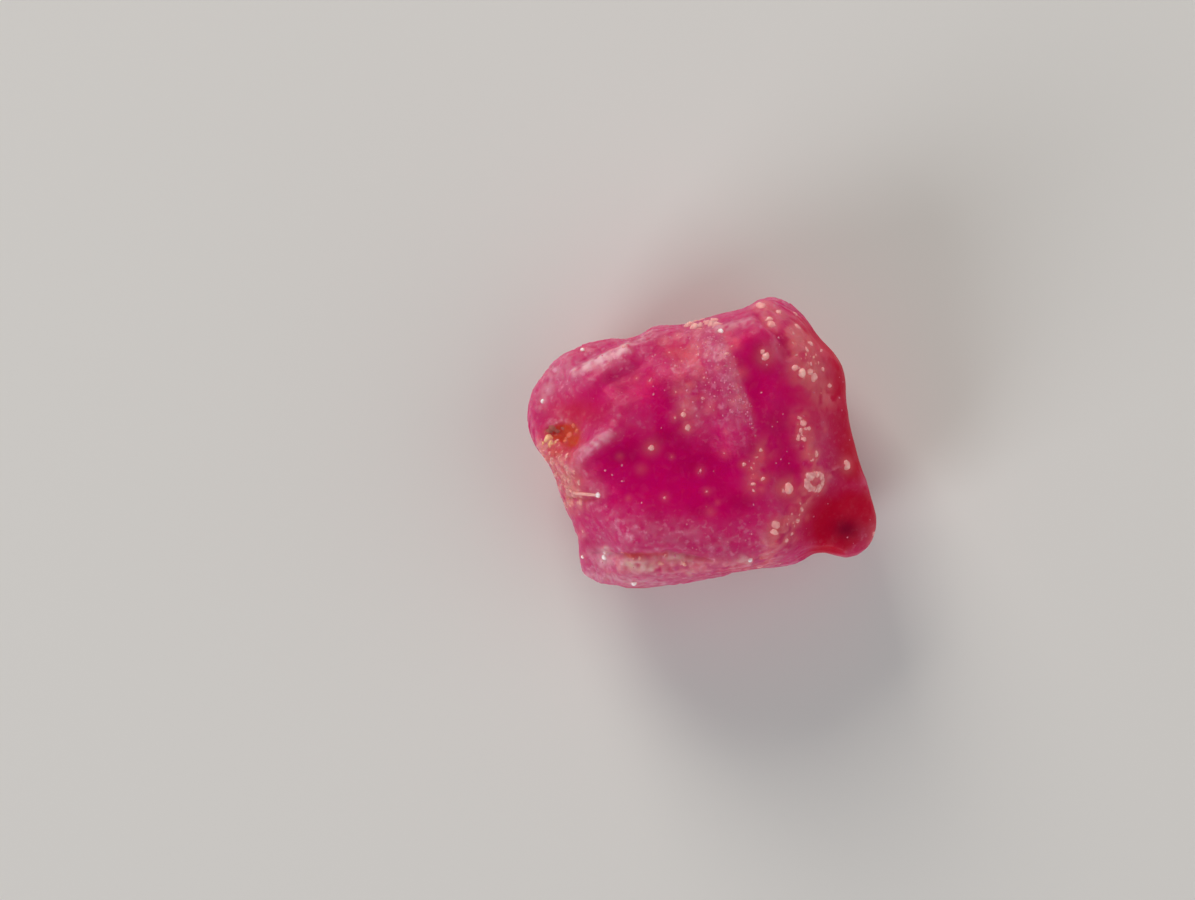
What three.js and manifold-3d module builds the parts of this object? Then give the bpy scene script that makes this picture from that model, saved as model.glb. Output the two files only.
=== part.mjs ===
// Raw ruby crystal: one water-worn, etched piece of corundum, as it comes out of the ground.
// Millimetres, +Z up. The stone lies on a flat parting face at z = 0 with its clear window
// facing up, and its origin is the centre of its bounding box at that level.

import * as THREE from 'three';
import { mergeVertices } from 'three/addons/utils/BufferGeometryUtils.js';
import { ImprovedNoise } from 'three/addons/math/ImprovedNoise.js';
import Module from 'manifold-3d';

// Driving dimensions
const LENGTH = 8.5; // along X
const BREADTH = 7.1; // along Y
const HEIGHT = 4.6; // along Z, from the parting face to the highest ridge
const GIRDLE = 2.05; // height of the widest level above the parting face
const PARTED = 0.55; // how much of the rounded underside the parting face took off
const TOP_SQUARENESS = 3.1; // exponent of the upper shoulder: 2 is an ellipse, more is squarer
const UNDERSIDE_SQUARENESS = 3.6;
const MESH_DETAIL = 19; // divisions of each icosahedron edge, less one
const MERGE_DISTANCE = 1e-5; // corners closer than this are one corner

// The widest level seen from above, anticlockwise from the right-hand side. Each point is a
// corner, or the bottom of a bay between two corners, and a smooth curve runs through them.
const RIM = [
  [3.7, 0.0],
  [3.56, 0.9],
  [3.42, 1.9],
  [2.75, 2.74], // upper right corner, broad and round
  [2.05, 3.46],
  [1.45, 3.54],
  [0.82, 3.26],
  [0.2, 3.08], // notch in the upper edge
  [-0.5, 2.92],
  [-1.15, 2.88],
  [-1.62, 2.62],
  [-2.45, 2.5],
  [-3.45, 2.2], // upper left shoulder
  [-3.98, 1.55],
  [-4.24, 0.7],
  [-4.1, 0.0],
  [-3.72, -0.65],
  [-3.44, -1.4], // left bay
  [-3.08, -2.1],
  [-3.04, -2.8],
  [-2.95, -3.38], // lower left corner, nearly square
  [-2.3, -3.46],
  [-1.5, -3.52],
  [-0.8, -3.46],
  [0.0, -3.32],
  [1.0, -3.04],
  [1.8, -2.94],
  [2.3, -2.8],
  [2.86, -2.56], // lower bay, before the lobe
  [3.46, -2.74],
  [4.0, -2.58],
  [4.25, -1.98], // tip of the lobe
  [4.16, -1.4],
  [3.9, -0.72],
];

// Flat faces left by growth and parting. Each is a plane facing the given azimuth and
// elevation, in degrees, at the given distance from the middle of the girdle level.
const FACES = [
  { azimuth: 4, elevation: 52, distance: 2.92 },
  { azimuth: 50, elevation: 36, distance: 3.72 },
  { azimuth: 112, elevation: 46, distance: 2.98 },
  { azimuth: 166, elevation: 48, distance: 3.34 },
  { azimuth: 212, elevation: 34, distance: 3.55 },
  { azimuth: 266, elevation: 44, distance: 3.22 },
  { azimuth: 322, elevation: 50, distance: 3.4 },
  { azimuth: 24, elevation: -30, distance: 3.5 },
  { azimuth: 84, elevation: -34, distance: 3.3 },
  { azimuth: 142, elevation: -28, distance: 3.75 },
  { azimuth: 204, elevation: -34, distance: 3.6 },
  { azimuth: 264, elevation: -26, distance: 3.4 },
  { azimuth: 326, elevation: -38, distance: 3.95 },
];
const FACE_ROUNDING = 0.16; // how softly a face runs into its neighbours
const LEAST_FACING = 0.05; // cosine below which a direction never meets a face

// Relief of the upper side. It fades out between these two sines of the elevation, so that the
// flanks keep their own shape.
const RELIEF_STARTS = 0.15;
const RELIEF_FULL = 0.6;

// A ridge or groove runs between two points with its own half-width. A negative height makes a
// groove.
const RIDGES = [
  { from: [-3.15, 1.45], to: [-1.6, 2.35], halfWidth: 0.3, height: 0.3 }, // upper left crest
  { from: [-3.2, -0.45], to: [-2.3, 0.2], halfWidth: 0.26, height: 0.24 }, // lip left of the window
  { from: [0.2, 2.6], to: [0.95, 0.1], halfWidth: 0.5, height: 0.14 }, // swell between the windows
  { from: [2.3, 2.7], to: [2.75, -0.9], halfWidth: 0.5, height: 0.24 }, // right-hand ridge
  { from: [2.7, -0.9], to: [1.7, -2.3], halfWidth: 0.4, height: 0.2 }, // and its turn inwards
  { from: [-2.6, -2.35], to: [1.3, -2.5], halfWidth: 0.34, height: 0.14 }, // step along the lower edge
  { from: [-2.5, -3.15], to: [1.0, -2.95], halfWidth: 0.26, height: 0.4 }, // ledge below the step
  { from: [1.25, 3.2], to: [2.05, 2.2], halfWidth: 0.16, height: -0.16 }, // crack in the right corner
  { from: [2.75, -2.6], to: [3.3, -1.1], halfWidth: 0.3, height: -0.12 }, // neck of the lobe
  { from: [-2.9, -1.3], to: [-2.2, -1.25], halfWidth: 0.14, height: -0.1 }, // nick at the left bay
];

// Hollows and humps: the centre, the half-widths along X and Y, and the height at the centre.
const SWELLS = [
  { centre: [-0.6, -0.75], spread: [1.9, 1.1], height: -0.3 }, // the large clear window
  { centre: [-1.9, 1.35], spread: [0.7, 0.5], height: -0.2 }, // upper left window
  { centre: [1.3, 1.75], spread: [0.55, 0.75], height: -0.18 }, // upper right window
  { centre: [-3.45, 0.2], spread: [0.38, 0.3], height: -0.42 }, // rusty pit
  { centre: [3.5, -2.0], spread: [1.15, 1.0], height: -0.68 }, // the lobe lies lower
  { centre: [0.0, 3.05], spread: [0.45, 0.35], height: -0.3 }, // notch
  { centre: [1.75, 2.75], spread: [0.5, 0.5], height: 0.12 }, // upper right hump
];

// Wear: long shallow waves over the whole stone, and shorter ones on top of them.
const WAVES = [
  { length: 2.1, height: 0.13, offset: 7.3 },
  { length: 0.85, height: 0.045, offset: 31.7 },
];

const RUBY = { color: 0xa80a4e, roughness: 0.3, metalness: 0 };

const RIM_SAMPLES = 1440; // places at which the rim's curve is measured
const FULL_TURN = 2 * Math.PI;

// Radius of the rim at an angle: the smooth closed curve through RIM, read as a polar function.
function makeRimRadius() {
  const corners = RIM.map(([x, y]) => new THREE.Vector3(x, y, 0));
  const curve = new THREE.CatmullRomCurve3(corners, true, 'centripetal');
  const samples = curve.getPoints(RIM_SAMPLES).map((point) => ({
    angle: THREE.MathUtils.euclideanModulo(Math.atan2(point.y, point.x), FULL_TURN),
    radius: Math.hypot(point.x, point.y),
  }));
  samples.sort((a, b) => a.angle - b.angle);
  const angles = samples.map((sample) => sample.angle);

  return (angle) => {
    const turned = THREE.MathUtils.euclideanModulo(angle, FULL_TURN);
    const next = angles.findIndex((value) => value >= turned);
    const b = samples[next < 0 ? 0 : next];
    const a = samples[next <= 0 ? samples.length - 1 : next - 1];
    const span = THREE.MathUtils.euclideanModulo(b.angle - a.angle, FULL_TURN);
    const passed = THREE.MathUtils.euclideanModulo(turned - a.angle, FULL_TURN);
    return span > 0 ? THREE.MathUtils.lerp(a.radius, b.radius, passed / span) : a.radius;
  };
}

// The smaller of two numbers, with the corner between them rounded over the given width.
function softMin(a, b, width) {
  const overlap = Math.max(width - Math.abs(a - b), 0) / width;
  return Math.min(a, b) - (overlap * overlap * width) / 4;
}

// Unit vector facing an azimuth, turned from +X towards +Y, and an elevation above level.
function facingDirection(azimuth, elevation) {
  const turn = THREE.MathUtils.degToRad(azimuth);
  const rise = THREE.MathUtils.degToRad(elevation);
  const flat = Math.cos(rise);
  return new THREE.Vector3(flat * Math.cos(turn), flat * Math.sin(turn), Math.sin(rise));
}

const facePlanes = FACES.map(({ azimuth, elevation, distance }) => ({
  normal: facingDirection(azimuth, elevation),
  distance,
}));

// Distance from the middle of the girdle level to the surface in one direction.
function surfaceDistance(direction, rimRadius) {
  const flat = Math.hypot(direction.x, direction.y);
  const rim = rimRadius(Math.atan2(direction.y, direction.x));
  const upper = direction.z >= 0;
  const depth = upper ? HEIGHT - GIRDLE : GIRDLE + PARTED;
  const power = upper ? TOP_SQUARENESS : UNDERSIDE_SQUARENESS;
  const sum = (flat / rim) ** power + (Math.abs(direction.z) / depth) ** power;
  let distance = sum ** (-1 / power);
  for (const plane of facePlanes) {
    const facing = direction.dot(plane.normal);
    if (facing > LEAST_FACING) {
      distance = softMin(distance, plane.distance / facing, FACE_ROUNDING);
    }
  }
  return distance;
}

// Height of one ridge or groove at a place: a bell across it that fades past both ends.
function ridgeHeight(ridge, x, y) {
  const start = new THREE.Vector3(...ridge.from, 0);
  const end = new THREE.Vector3(...ridge.to, 0);
  const place = new THREE.Vector3(x, y, 0);
  const nearest = new THREE.Line3(start, end).closestPointToPoint(place, true, new THREE.Vector3());
  return ridge.height * Math.exp(-((nearest.distanceTo(place) / ridge.halfWidth) ** 2));
}

function swellHeight(swell, x, y) {
  const across = (x - swell.centre[0]) / swell.spread[0];
  const along = (y - swell.centre[1]) / swell.spread[1];
  return swell.height * Math.exp(-(across * across + along * along));
}

// The same geometry with one vertex at each corner that its triangles share.
function mergeCorners(geometry) {
  const bare = geometry.clone();
  bare.deleteAttribute('normal');
  bare.deleteAttribute('uv');
  return mergeVertices(bare, MERGE_DISTANCE);
}

// The rounded stone before the parting face cuts it, centred on its girdle level.
function makeRoundedStone() {
  const rimRadius = makeRimRadius();
  const noise = new ImprovedNoise();
  const stone = mergeCorners(new THREE.IcosahedronGeometry(1, MESH_DETAIL));
  const position = stone.attributes.position;
  const point = new THREE.Vector3();
  for (let i = 0; i < position.count; i++) {
    const direction = point.fromBufferAttribute(position, i).clone().normalize();
    point.copy(direction).multiplyScalar(surfaceDistance(direction, rimRadius));
    let wear = 0;
    for (const wave of WAVES) {
      const at = point.clone().divideScalar(wave.length).addScalar(wave.offset);
      wear += wave.height * noise.noise(at.x, at.y, at.z);
    }
    const upward = THREE.MathUtils.smoothstep(direction.z, RELIEF_STARTS, RELIEF_FULL);
    let relief = 0;
    for (const ridge of RIDGES) {
      relief += ridgeHeight(ridge, point.x, point.y);
    }
    for (const swell of SWELLS) {
      relief += swellHeight(swell, point.x, point.y);
    }
    point.addScaledVector(direction, wear);
    point.z += relief * upward;
    position.setXYZ(i, point.x, point.y, point.z);
  }
  return stone;
}

// Brings a geometry to the stated size and puts its lowest level at the stated height.
function fitToSize(geometry) {
  geometry.computeBoundingBox();
  const size = geometry.boundingBox.getSize(new THREE.Vector3());
  const centre = geometry.boundingBox.getCenter(new THREE.Vector3());
  geometry.translate(-centre.x, -centre.y, -geometry.boundingBox.min.z);
  geometry.scale(LENGTH / size.x, BREADTH / size.y, (HEIGHT + PARTED) / size.z);
  geometry.translate(0, 0, -PARTED);
  return geometry;
}

// Solids for cutting, from closed three.js geometries.
const wasm = await Module();
wasm.setup();

function toSolid(geometry) {
  const merged = mergeCorners(geometry);
  const vertProperties = new Float32Array(merged.attributes.position.array);
  const triVerts = new Uint32Array(merged.index.array);
  return new wasm.Manifold(new wasm.Mesh({ numProp: 3, vertProperties, triVerts }));
}

function toGeometry(solid) {
  const mesh = solid.getMesh();
  const geometry = new THREE.BufferGeometry();
  geometry.setAttribute('position', new THREE.BufferAttribute(mesh.vertProperties, 3));
  geometry.setIndex(new THREE.BufferAttribute(mesh.triVerts, 1));
  geometry.computeVertexNormals();
  return geometry;
}

// Everything below z = 0 broke away along a flat parting, which left the face the stone rests on.
function makeCrystal() {
  const stone = toSolid(fitToSize(makeRoundedStone()));
  const below = new THREE.BoxGeometry(2 * LENGTH, 2 * BREADTH, 2 * HEIGHT);
  below.translate(0, 0, -HEIGHT);
  return toGeometry(stone.subtract(toSolid(below)));
}

const crystal = new THREE.Mesh(makeCrystal(), new THREE.MeshStandardMaterial(RUBY));
crystal.name = 'ruby_crystal';

const part = new THREE.Group();
part.add(crystal);

export default part;
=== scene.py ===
# %% [markdown]
# # A raw ruby crystal
# A rough ruby is one piece of corundum. It grew in marble or gravel, was rolled and etched, and
# its skin is a mix of clear windows and frosted rind. The shape comes from the fixed frame, which
# holds the stone at its real size. This lesson gives that shape a fine skin, fills it with the
# things that grow inside such a stone, and lights it as on a studio table.

import bmesh
import bpy
import numpy as np
from mathutils import Matrix, Vector, noise
from mathutils.bvhtree import BVHTree


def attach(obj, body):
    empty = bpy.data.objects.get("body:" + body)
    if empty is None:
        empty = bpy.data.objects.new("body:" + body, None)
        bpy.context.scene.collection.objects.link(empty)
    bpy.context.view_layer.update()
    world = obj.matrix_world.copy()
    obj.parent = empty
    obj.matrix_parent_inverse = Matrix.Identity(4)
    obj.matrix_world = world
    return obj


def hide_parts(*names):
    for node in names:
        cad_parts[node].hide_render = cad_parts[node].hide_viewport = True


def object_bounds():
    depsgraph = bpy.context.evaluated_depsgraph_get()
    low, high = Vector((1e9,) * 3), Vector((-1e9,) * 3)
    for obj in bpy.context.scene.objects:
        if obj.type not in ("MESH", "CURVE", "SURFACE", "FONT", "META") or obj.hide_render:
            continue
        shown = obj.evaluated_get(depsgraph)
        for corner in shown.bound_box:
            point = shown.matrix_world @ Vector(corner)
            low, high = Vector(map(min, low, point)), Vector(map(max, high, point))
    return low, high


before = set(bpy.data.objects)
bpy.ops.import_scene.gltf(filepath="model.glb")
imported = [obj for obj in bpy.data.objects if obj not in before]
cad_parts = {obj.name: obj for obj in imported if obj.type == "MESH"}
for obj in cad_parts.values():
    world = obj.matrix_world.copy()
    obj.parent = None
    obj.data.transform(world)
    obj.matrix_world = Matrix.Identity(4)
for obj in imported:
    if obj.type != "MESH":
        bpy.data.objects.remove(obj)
cad_low, cad_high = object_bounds()
stone_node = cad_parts["ruby_crystal"]
print("stone in the frame, mm:", [round(1000 * side, 2) for side in cad_high - cad_low])

# %% [markdown]
# The stone is a few millimetres across. Blender works in metres, so every size below is written
# in millimetres, as a gem cutter would measure it, and turned to metres at the very end.

# %% Units and colours
MM = 0.001
STONE_LOW = np.array(cad_low) / MM
STONE_HIGH = np.array(cad_high) / MM


def colour(hex_code):
    """An sRGB hex colour as the linear values that Blender's shaders use."""
    channels = [int(hex_code[i:i + 2], 16) / 255 for i in (1, 3, 5)]
    linear = [c / 12.92 if c <= 0.04045 else ((c + 0.055) / 1.055) ** 2.4 for c in channels]
    return (*linear, 1.0)


def add_node(tree, kind, inputs=None, **settings):
    """Adds one shader node, sets its options, and links or sets its inputs."""
    made = tree.nodes.new(kind)
    for name, value in settings.items():
        setattr(made, name, value)
    for name, value in (inputs or {}).items():
        if isinstance(value, bpy.types.NodeSocket):
            tree.links.new(value, made.inputs[name])
        else:
            made.inputs[name].default_value = value
    return made


def new_material(name):
    """An empty material, and the tree that its nodes go in."""
    material = bpy.data.materials.new(name)
    material.use_nodes = True
    material.node_tree.nodes.clear()
    return material, material.node_tree


print("stone's box, mm:", STONE_LOW.round(2), "to", STONE_HIGH.round(2))

# %% [markdown]
# The camera looks straight down on the window, the way a gem is held up to be judged. A long lens
# keeps the outline true. The stone sits a little to the right of the middle of the picture.

# %% Camera
VIEW_WIDTH = 29.1 * MM
VIEW_CENTRE = Vector((-2.54 * MM, -0.18 * MM, 2.3 * MM))
CAMERA_DISTANCE = 180 * MM
SENSOR_WIDTH = 36.0

camera_data = bpy.data.cameras.new("camera")
camera_data.sensor_width = SENSOR_WIDTH
camera_data.lens = SENSOR_WIDTH * CAMERA_DISTANCE / VIEW_WIDTH
camera_data.clip_start = 10 * MM
camera_data.clip_end = 10.0
camera = bpy.data.objects.new("camera", camera_data)
camera.location = VIEW_CENTRE + Vector((0, 0, CAMERA_DISTANCE))
bpy.context.scene.collection.objects.link(camera)
bpy.context.scene.camera = camera
print("lens, mm:", round(camera_data.lens, 1))

# %% [markdown]
# A studio table: matt white card, three soft lamps and a pale room all round. The strongest lamp
# stands behind the stone on the left, so the crests there catch it. The other two fill from the
# front left and from the right, because a ruby shows its red best in even light.

# %% Floor, lamps and room
CARD_SIZE = 3.0  # metres from the middle to each side, so that its edge is never seen
CARD_GAP = 0.02 * MM  # between the card and the stone's resting face


def make_floor():
    mesh = bpy.data.meshes.new("white_card")
    square = ((-1, -1), (1, -1), (1, 1), (-1, 1))
    corners = [(x * CARD_SIZE, y * CARD_SIZE, -CARD_GAP) for x, y in square]
    mesh.from_pydata(corners, [], [(0, 1, 2, 3)])
    floor = bpy.data.objects.new("white_card", mesh)
    bpy.context.scene.collection.objects.link(floor)
    card, tree = new_material("matt_white_card")
    shader = add_node(tree, "ShaderNodeBsdfPrincipled", {
        "Base Color": colour("#E0DEDA"),
        "Roughness": 0.85,
        "Specular IOR Level": 0.2,
    })
    add_node(tree, "ShaderNodeOutputMaterial", {"Surface": shader.outputs["BSDF"]})
    mesh.materials.append(card)


def make_lamp(name, place, size, power, tint):
    """A square soft lamp that faces the stone."""
    data = bpy.data.lights.new(name, "AREA")
    data.shape = "SQUARE"
    data.size = size
    data.energy = power
    data.color = colour(tint)[:3]
    lamp = bpy.data.objects.new(name, data)
    lamp.location = Vector(place)
    lamp.rotation_euler = (-Vector(place)).to_track_quat("-Z", "Y").to_euler()
    bpy.context.scene.collection.objects.link(lamp)


make_floor()
make_lamp("key_lamp", (-0.16, 0.34, 0.20), 0.2, 1.15, "#FFF8F0")
make_lamp("fill_lamp", (-0.30, -0.26, 0.20), 0.2, 0.9, "#F4F8FF")
make_lamp("right_lamp", (0.34, -0.06, 0.26), 0.6, 0.7, "#FFFFFF")

ROOM_WALL = 0.7  # brightness of the room near the horizon
ROOM_CEILING = 0.16  # and straight above, where a flat window would mirror it
ROOM_CEILING_STARTS = 0.5  # sine of the angle above the horizon


def make_room():
    """A pale room whose ceiling is dim, so that flat windows keep their colour."""
    world = bpy.data.worlds.new("pale_room")
    world.use_nodes = True
    tree = world.node_tree
    tree.nodes.clear()
    direction = add_node(tree, "ShaderNodeTexCoord").outputs["Generated"]
    height = add_node(tree, "ShaderNodeSeparateXYZ", {"Vector": direction}).outputs["Z"]
    brightness = add_node(tree, "ShaderNodeMapRange", {
        "Value": height, "From Max": ROOM_CEILING_STARTS, "To Min": ROOM_WALL, "To Max": ROOM_CEILING,
    }, interpolation_type="SMOOTHSTEP").outputs["Result"]
    sky = add_node(tree, "ShaderNodeBackground", {"Color": colour("#F2F2F4"), "Strength": brightness})
    add_node(tree, "ShaderNodeOutputWorld", {"Surface": sky.outputs["Background"]})
    bpy.context.scene.world = world


make_room()
bpy.context.scene.view_settings.view_transform = "Standard"
print("lamps:", len(bpy.data.lights), "room brightness:", ROOM_WALL, "down to", ROOM_CEILING)

# %% [markdown]
# ## The stone's fine skin
# The frame's solid has facets about a quarter of a millimetre wide. A voxel remesh gives the same
# shape an even skin of small squares, and a little smoothing takes the facets away. It runs on a
# copy scaled up a thousand times, because the modifier can't make voxels as small as this. The
# squares are small enough to give about 190,000 triangles. The squares are as small as a limit of
# 200,000 triangles for one mesh allows.

# %% Remesh
SKIN_STEP = 0.0475  # mm between neighbouring points, which gives about 190,000 triangles
SMOOTHING_ROUNDS = 14  # enough to take away the facets and the voxels' own steps


def fine_skin():
    rough = stone_node.data.copy()
    rough.transform(Matrix.Scale(1 / MM, 4))
    carrier = bpy.data.objects.new("skin_carrier", rough)
    bpy.context.scene.collection.objects.link(carrier)
    remesh = carrier.modifiers.new("remesh", "REMESH")
    remesh.mode = "VOXEL"
    remesh.voxel_size = SKIN_STEP
    soften = carrier.modifiers.new("soften", "SMOOTH")
    soften.factor = 0.5
    soften.iterations = SMOOTHING_ROUNDS
    graph = bpy.context.evaluated_depsgraph_get()
    skin = bpy.data.meshes.new_from_object(carrier.evaluated_get(graph))
    bpy.data.objects.remove(carrier)
    skin.name = "ruby"
    return skin


skin = fine_skin()


def read_skin(what):
    values = np.empty(len(skin.vertices) * 3)
    skin.vertices.foreach_get(what, values)
    return values.reshape(-1, 3)


def write_skin(places):
    skin.vertices.foreach_set("co", places.ravel())
    skin.update()


points = read_skin("co")
normals = read_skin("normal")
print("skin points:", len(points), "faces:", len(skin.polygons))

# %% [markdown]
# ## Measures on the skin
# A few small measures describe everything on the skin: how far a point is from a line seen from
# above, a soft spot, a band, a field with a ragged border, and smooth random noise. Each gives one
# number for every point of the skin.

# %% Measures
def clamp(values):
    return np.clip(values, 0, 1)


def ease(values):
    """Clamps to 0..1 and rounds both ends of the slope."""
    t = clamp(values)
    return t * t * (3 - 2 * t)


def random_swell(length, seed, stretch=(1, 1, 1)):
    """Smooth noise, about -1 to 1, that changes over the given length in mm."""
    shift = np.array((17.1, 5.3, 9.7)) * seed
    return np.array([noise.noise(Vector(p)) for p in points / (length * np.array(stretch)) + shift])


def from_line(start, end):
    """Distance in mm, seen from above, to the line between two places."""
    a, b = np.array(start), np.array(end)
    along = np.clip((points[:, :2] - a) @ (b - a) / np.dot(b - a, b - a), 0, 1)
    return np.linalg.norm(points[:, :2] - (a + along[:, None] * (b - a)), axis=1)


def left_of(start, end):
    """How far each point lies to the left of the endless line through two places, seen from above."""
    a, b = np.array(start), np.array(end)
    way = (b - a) / np.linalg.norm(b - a)
    return (points[:, 1] - a[1]) * way[0] - (points[:, 0] - a[0]) * way[1]


def spot(x, y, spread_x, spread_y=None):
    """A soft spot that fades out over its spread in mm."""
    across = (points[:, 0] - x) / spread_x
    along = (points[:, 1] - y) / (spread_y or spread_x)
    return np.exp(-(across ** 2 + along ** 2))


def band(start, end, half_width):
    """A soft band along the line between two places."""
    return np.exp(-(from_line(start, end) / half_width) ** 2)


def crest(start, end, half_width):
    """A sharp ridge: full on the line, and running out smoothly at its foot."""
    return clamp(1 - from_line(start, end) / half_width) ** 2


WANDER = 0.20 * random_swell(0.8, 3) + 0.08 * random_swell(0.25, 9)  # mm by which borders wander


def field(start, end, radius, border):
    """1 within a radius of the line between two places, with a ragged border of the given width."""
    return ease(0.5 + (radius - from_line(start, end) + WANDER) / border)


UPPER = ease((normals[:, 2] + 0.05) / 0.3)  # 1 on the upper side, 0 under the girdle
SIDEWAYS = clamp(1.2 - np.abs(normals[:, 2]) * 1.6)  # 1 on upright sides, 0 where the skin is level
print("upper side, share of the skin:", round(float(UPPER.mean()), 2))

# %% [markdown]
# ## Windows, rind and veil
# A map with one value a point says how frosted the skin is. On the upper left it also carries painted
# sheen: the pale streak along the crest and the pale slope beside it are painted highlights. The
# windows are smooth and deep in colour. The rind, the rims and the healed band between the windows
# are etched and look paler. The healed band, or veil, ends in a sharp line on its right, where a
# growth face stopped it, and fades to the left in streaks that run with that line. Out of sight,
# round the sides, clear and frosted patches simply alternate, as they do on any rolled stone.

# %% Map of the frost
window = np.maximum.reduce([
    field((-1.7, -0.6), (0.6, -1.0), 0.95, 0.7),
    field((-1.15, 1.2), (-0.9, 0.2), 0.45, 0.7),
    0.7 * field((-2.7, 1.1), (-1.3, 1.35), 0.38, 0.7),
    field((1.2, 2.1), (1.6, 0.9), 0.5, 0.4),
    field((1.6, 0.6), (1.3, -0.9), 0.5, 0.6),
    0.95 * field((2.1, 1.3), (2.2, -1.2), 0.6, 0.7),
    0.8 * field((2.3, 2.6), (3.1, 1.2), 0.5, 0.8),
    0.8 * field((2.5, -1.3), (2.0, -2.1), 0.45, 0.6),
]) * UPPER

VEIL_FOOT = (1.3, 0.6)
VEIL_TOP = (0.55, 2.7)
from_edge = left_of(VEIL_FOOT, VEIL_TOP)
STREAK_WIDTH, STREAK_LENGTH = 0.11, 1.6  # mm
streaks = np.array([
    noise.noise(Vector((across / STREAK_WIDTH, along / STREAK_LENGTH, 4.0)))
    for across, along in zip(from_edge, points[:, 1])
])
veil = ease(from_edge / 0.14) * np.exp(-(clamp(from_edge / 2) * 2 / 0.95) ** 2)
veil_reach = ease((points[:, 1] - 0.15 + 0.5 * streaks) / 0.9)
veil *= veil_reach * clamp(0.8 + 0.6 * streaks + 0.4 * random_swell(0.3, 21))
veil *= UPPER

patches = 0.5 + 1.6 * random_swell(1.5, 14) + 0.5 * random_swell(0.4, 15)
patches = ease(patches) * (1 - UPPER)
lower_ledge = field((-2.5, -3.1), (1.6, -3.0), 0.4, 0.5) * UPPER

# Part of the frost is painted sheen: the spot on the upper left slope, the band along the upper left crest
# and the band along the top edge beside it are painted highlights.
frost_and_sheen = (
    0.36
    + 0.45 * patches
    + 0.12 * spot(-0.5, 2.5, 0.9, 0.4)
    + 0.46 * spot(-3.6, 1.4, 0.6, 0.8)
    + 0.50 * band((-3.13, 1.66), (-1.83, 2.28), 0.16)
    + 0.30 * band((-2.9, 2.3), (-1.2, 2.75), 0.25)
    + 0.40 * band((-3.0, -0.3), (-2.3, 0.2), 0.22)
    - 0.10 * spot(2.4, 2.7, 0.6, 0.6)
    + 0.25 * band((-2.2, -2.1), (1.4, -2.2), 0.4)
    + 0.45 * lower_ledge
    + 0.18 * random_swell(0.5, 16) + 0.16 * random_swell(0.17, 17)
)
frost_and_sheen = frost_and_sheen * (1 - 0.95 * window) + 0.55 * veil
print("frosted share of the skin:", round(float(clamp(frost_and_sheen).mean()), 2))

# %% [markdown]
# ## Crimson flank, warm tints and stain
# The right flank and the lobe are thick and nearly free of frost, so they are the deepest red.
# Iron from the ground has stained the pit on the left and tinted a few places next to it. Along
# the belt of grains the ruby is clouded, in wisps, and that is the map called haze. The map of sheen
# and scuff is partly where a crest was rubbed pale, and partly painted sheen and highlights along the
# upper left crest, the lip at the top and the lower rim. Chalky patches along the ledge are left of
# the marble that the stone grew in, and two small white spots among them are painted glints. Each
# map is drawn as soft spots and bands, because its real border is never a clean line.

# %% Maps of the tints
deep_patches = 0.4 + 1.4 * random_swell(1.7, 22) + 0.4 * random_swell(0.4, 23)
deep_patches = ease(deep_patches) * (1 - UPPER)
flank = np.maximum.reduce([
    field((3.0, 2.8), (3.75, 1.6), 0.5, 0.8),
    field((3.6, 2.3), (3.75, -0.6), 0.55, 1.0),
    field((3.2, -2.1), (4.1, -1.7), 0.9, 1.0),
]) * ease(points[:, 2] / 2.2)
flank = np.maximum(flank, 0.7 * deep_patches)
frost_and_sheen *= 1 - 0.92 * flank
# A pale spot at the lobe's end is a painted reflection.
frost_and_sheen += 0.3 * spot(3.95, -2.3, 0.22, 0.3)
dark_lobe_spot = UPPER * 0.85 * spot(3.5, -2.1, 0.34, 0.26)  # the darkest spot, in the lobe

warm = UPPER * clamp(
    0.7 * spot(-3.1, 0.75, 0.7, 0.35)
    + 0.6 * spot(-0.6, 2.2, 0.4, 0.25)
    + 0.5 * spot(2.8, 0.9, 0.5, 1.0)
    + 0.5 * spot(-3.2, -0.9, 0.4, 0.6)
    + 0.6 * spot(2.6, 2.6, 0.6, 0.6)
)
rust = UPPER * clamp(
    (
        1.3 * spot(-3.5, 0.24, 0.30, 0.18)
        + 1.2 * spot(-3.2, 0.12, 0.22, 0.34)
        + 0.6 * spot(-3.6, -0.25, 0.25, 0.2)
        + 0.5 * band((-1.9, -2.72), (-0.9, -2.74), 0.05)
    )
    * (1 + 0.9 * random_swell(0.2, 5))
)
peach = UPPER * clamp(
    1.3 * band((-3.78, -0.15), (-3.17, -1.35), 0.32)
    + 0.4 * band((-2.2, -2.78), (0.3, -2.9), 0.10)
    + 0.30 * band((2.5, 2.3), (2.8, 1.3), 0.25)
) * clamp(0.7 + 0.9 * random_swell(0.16, 18))
wisps = ease(0.75 + 2.2 * random_swell(0.32, 25) + 1.2 * random_swell(0.15, 26))
haze = UPPER * wisps * np.maximum.reduce([
    0.55 * band((1.5, 3.3), (2.2, 2.7), 0.22),
    0.9 * band((2.2, 2.7), (2.5, 1.8), 0.30),
    1.1 * spot(2.55, 1.68, 0.42, 0.34),
    0.8 * band((2.6, 1.6), (3.0, 1.1), 0.28),
    0.8 * band((2.35, 0.6), (2.5, 0.0), 0.24),
    0.9 * band((2.5, 0.0), (2.75, -0.9), 0.22),
    0.9 * band((1.95, -1.1), (2.8, -0.95), 0.20),
    0.9 * band((2.9, -0.85), (3.5, -0.55), 0.09),
    0.9 * band((2.5, -1.3), (1.85, -2.2), 0.20),
    0.9 * band((1.85, -2.2), (1.5, -2.8), 0.28),
    0.5 * band((1.5, -0.1), (1.2, -1.0), 0.24),
    0.38 * band((-0.3, 2.5), (-0.35, 0.6), 0.30),
    0.6 * band((-2.2, -3.0), (1.2, -3.0), 0.2),
])
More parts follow.
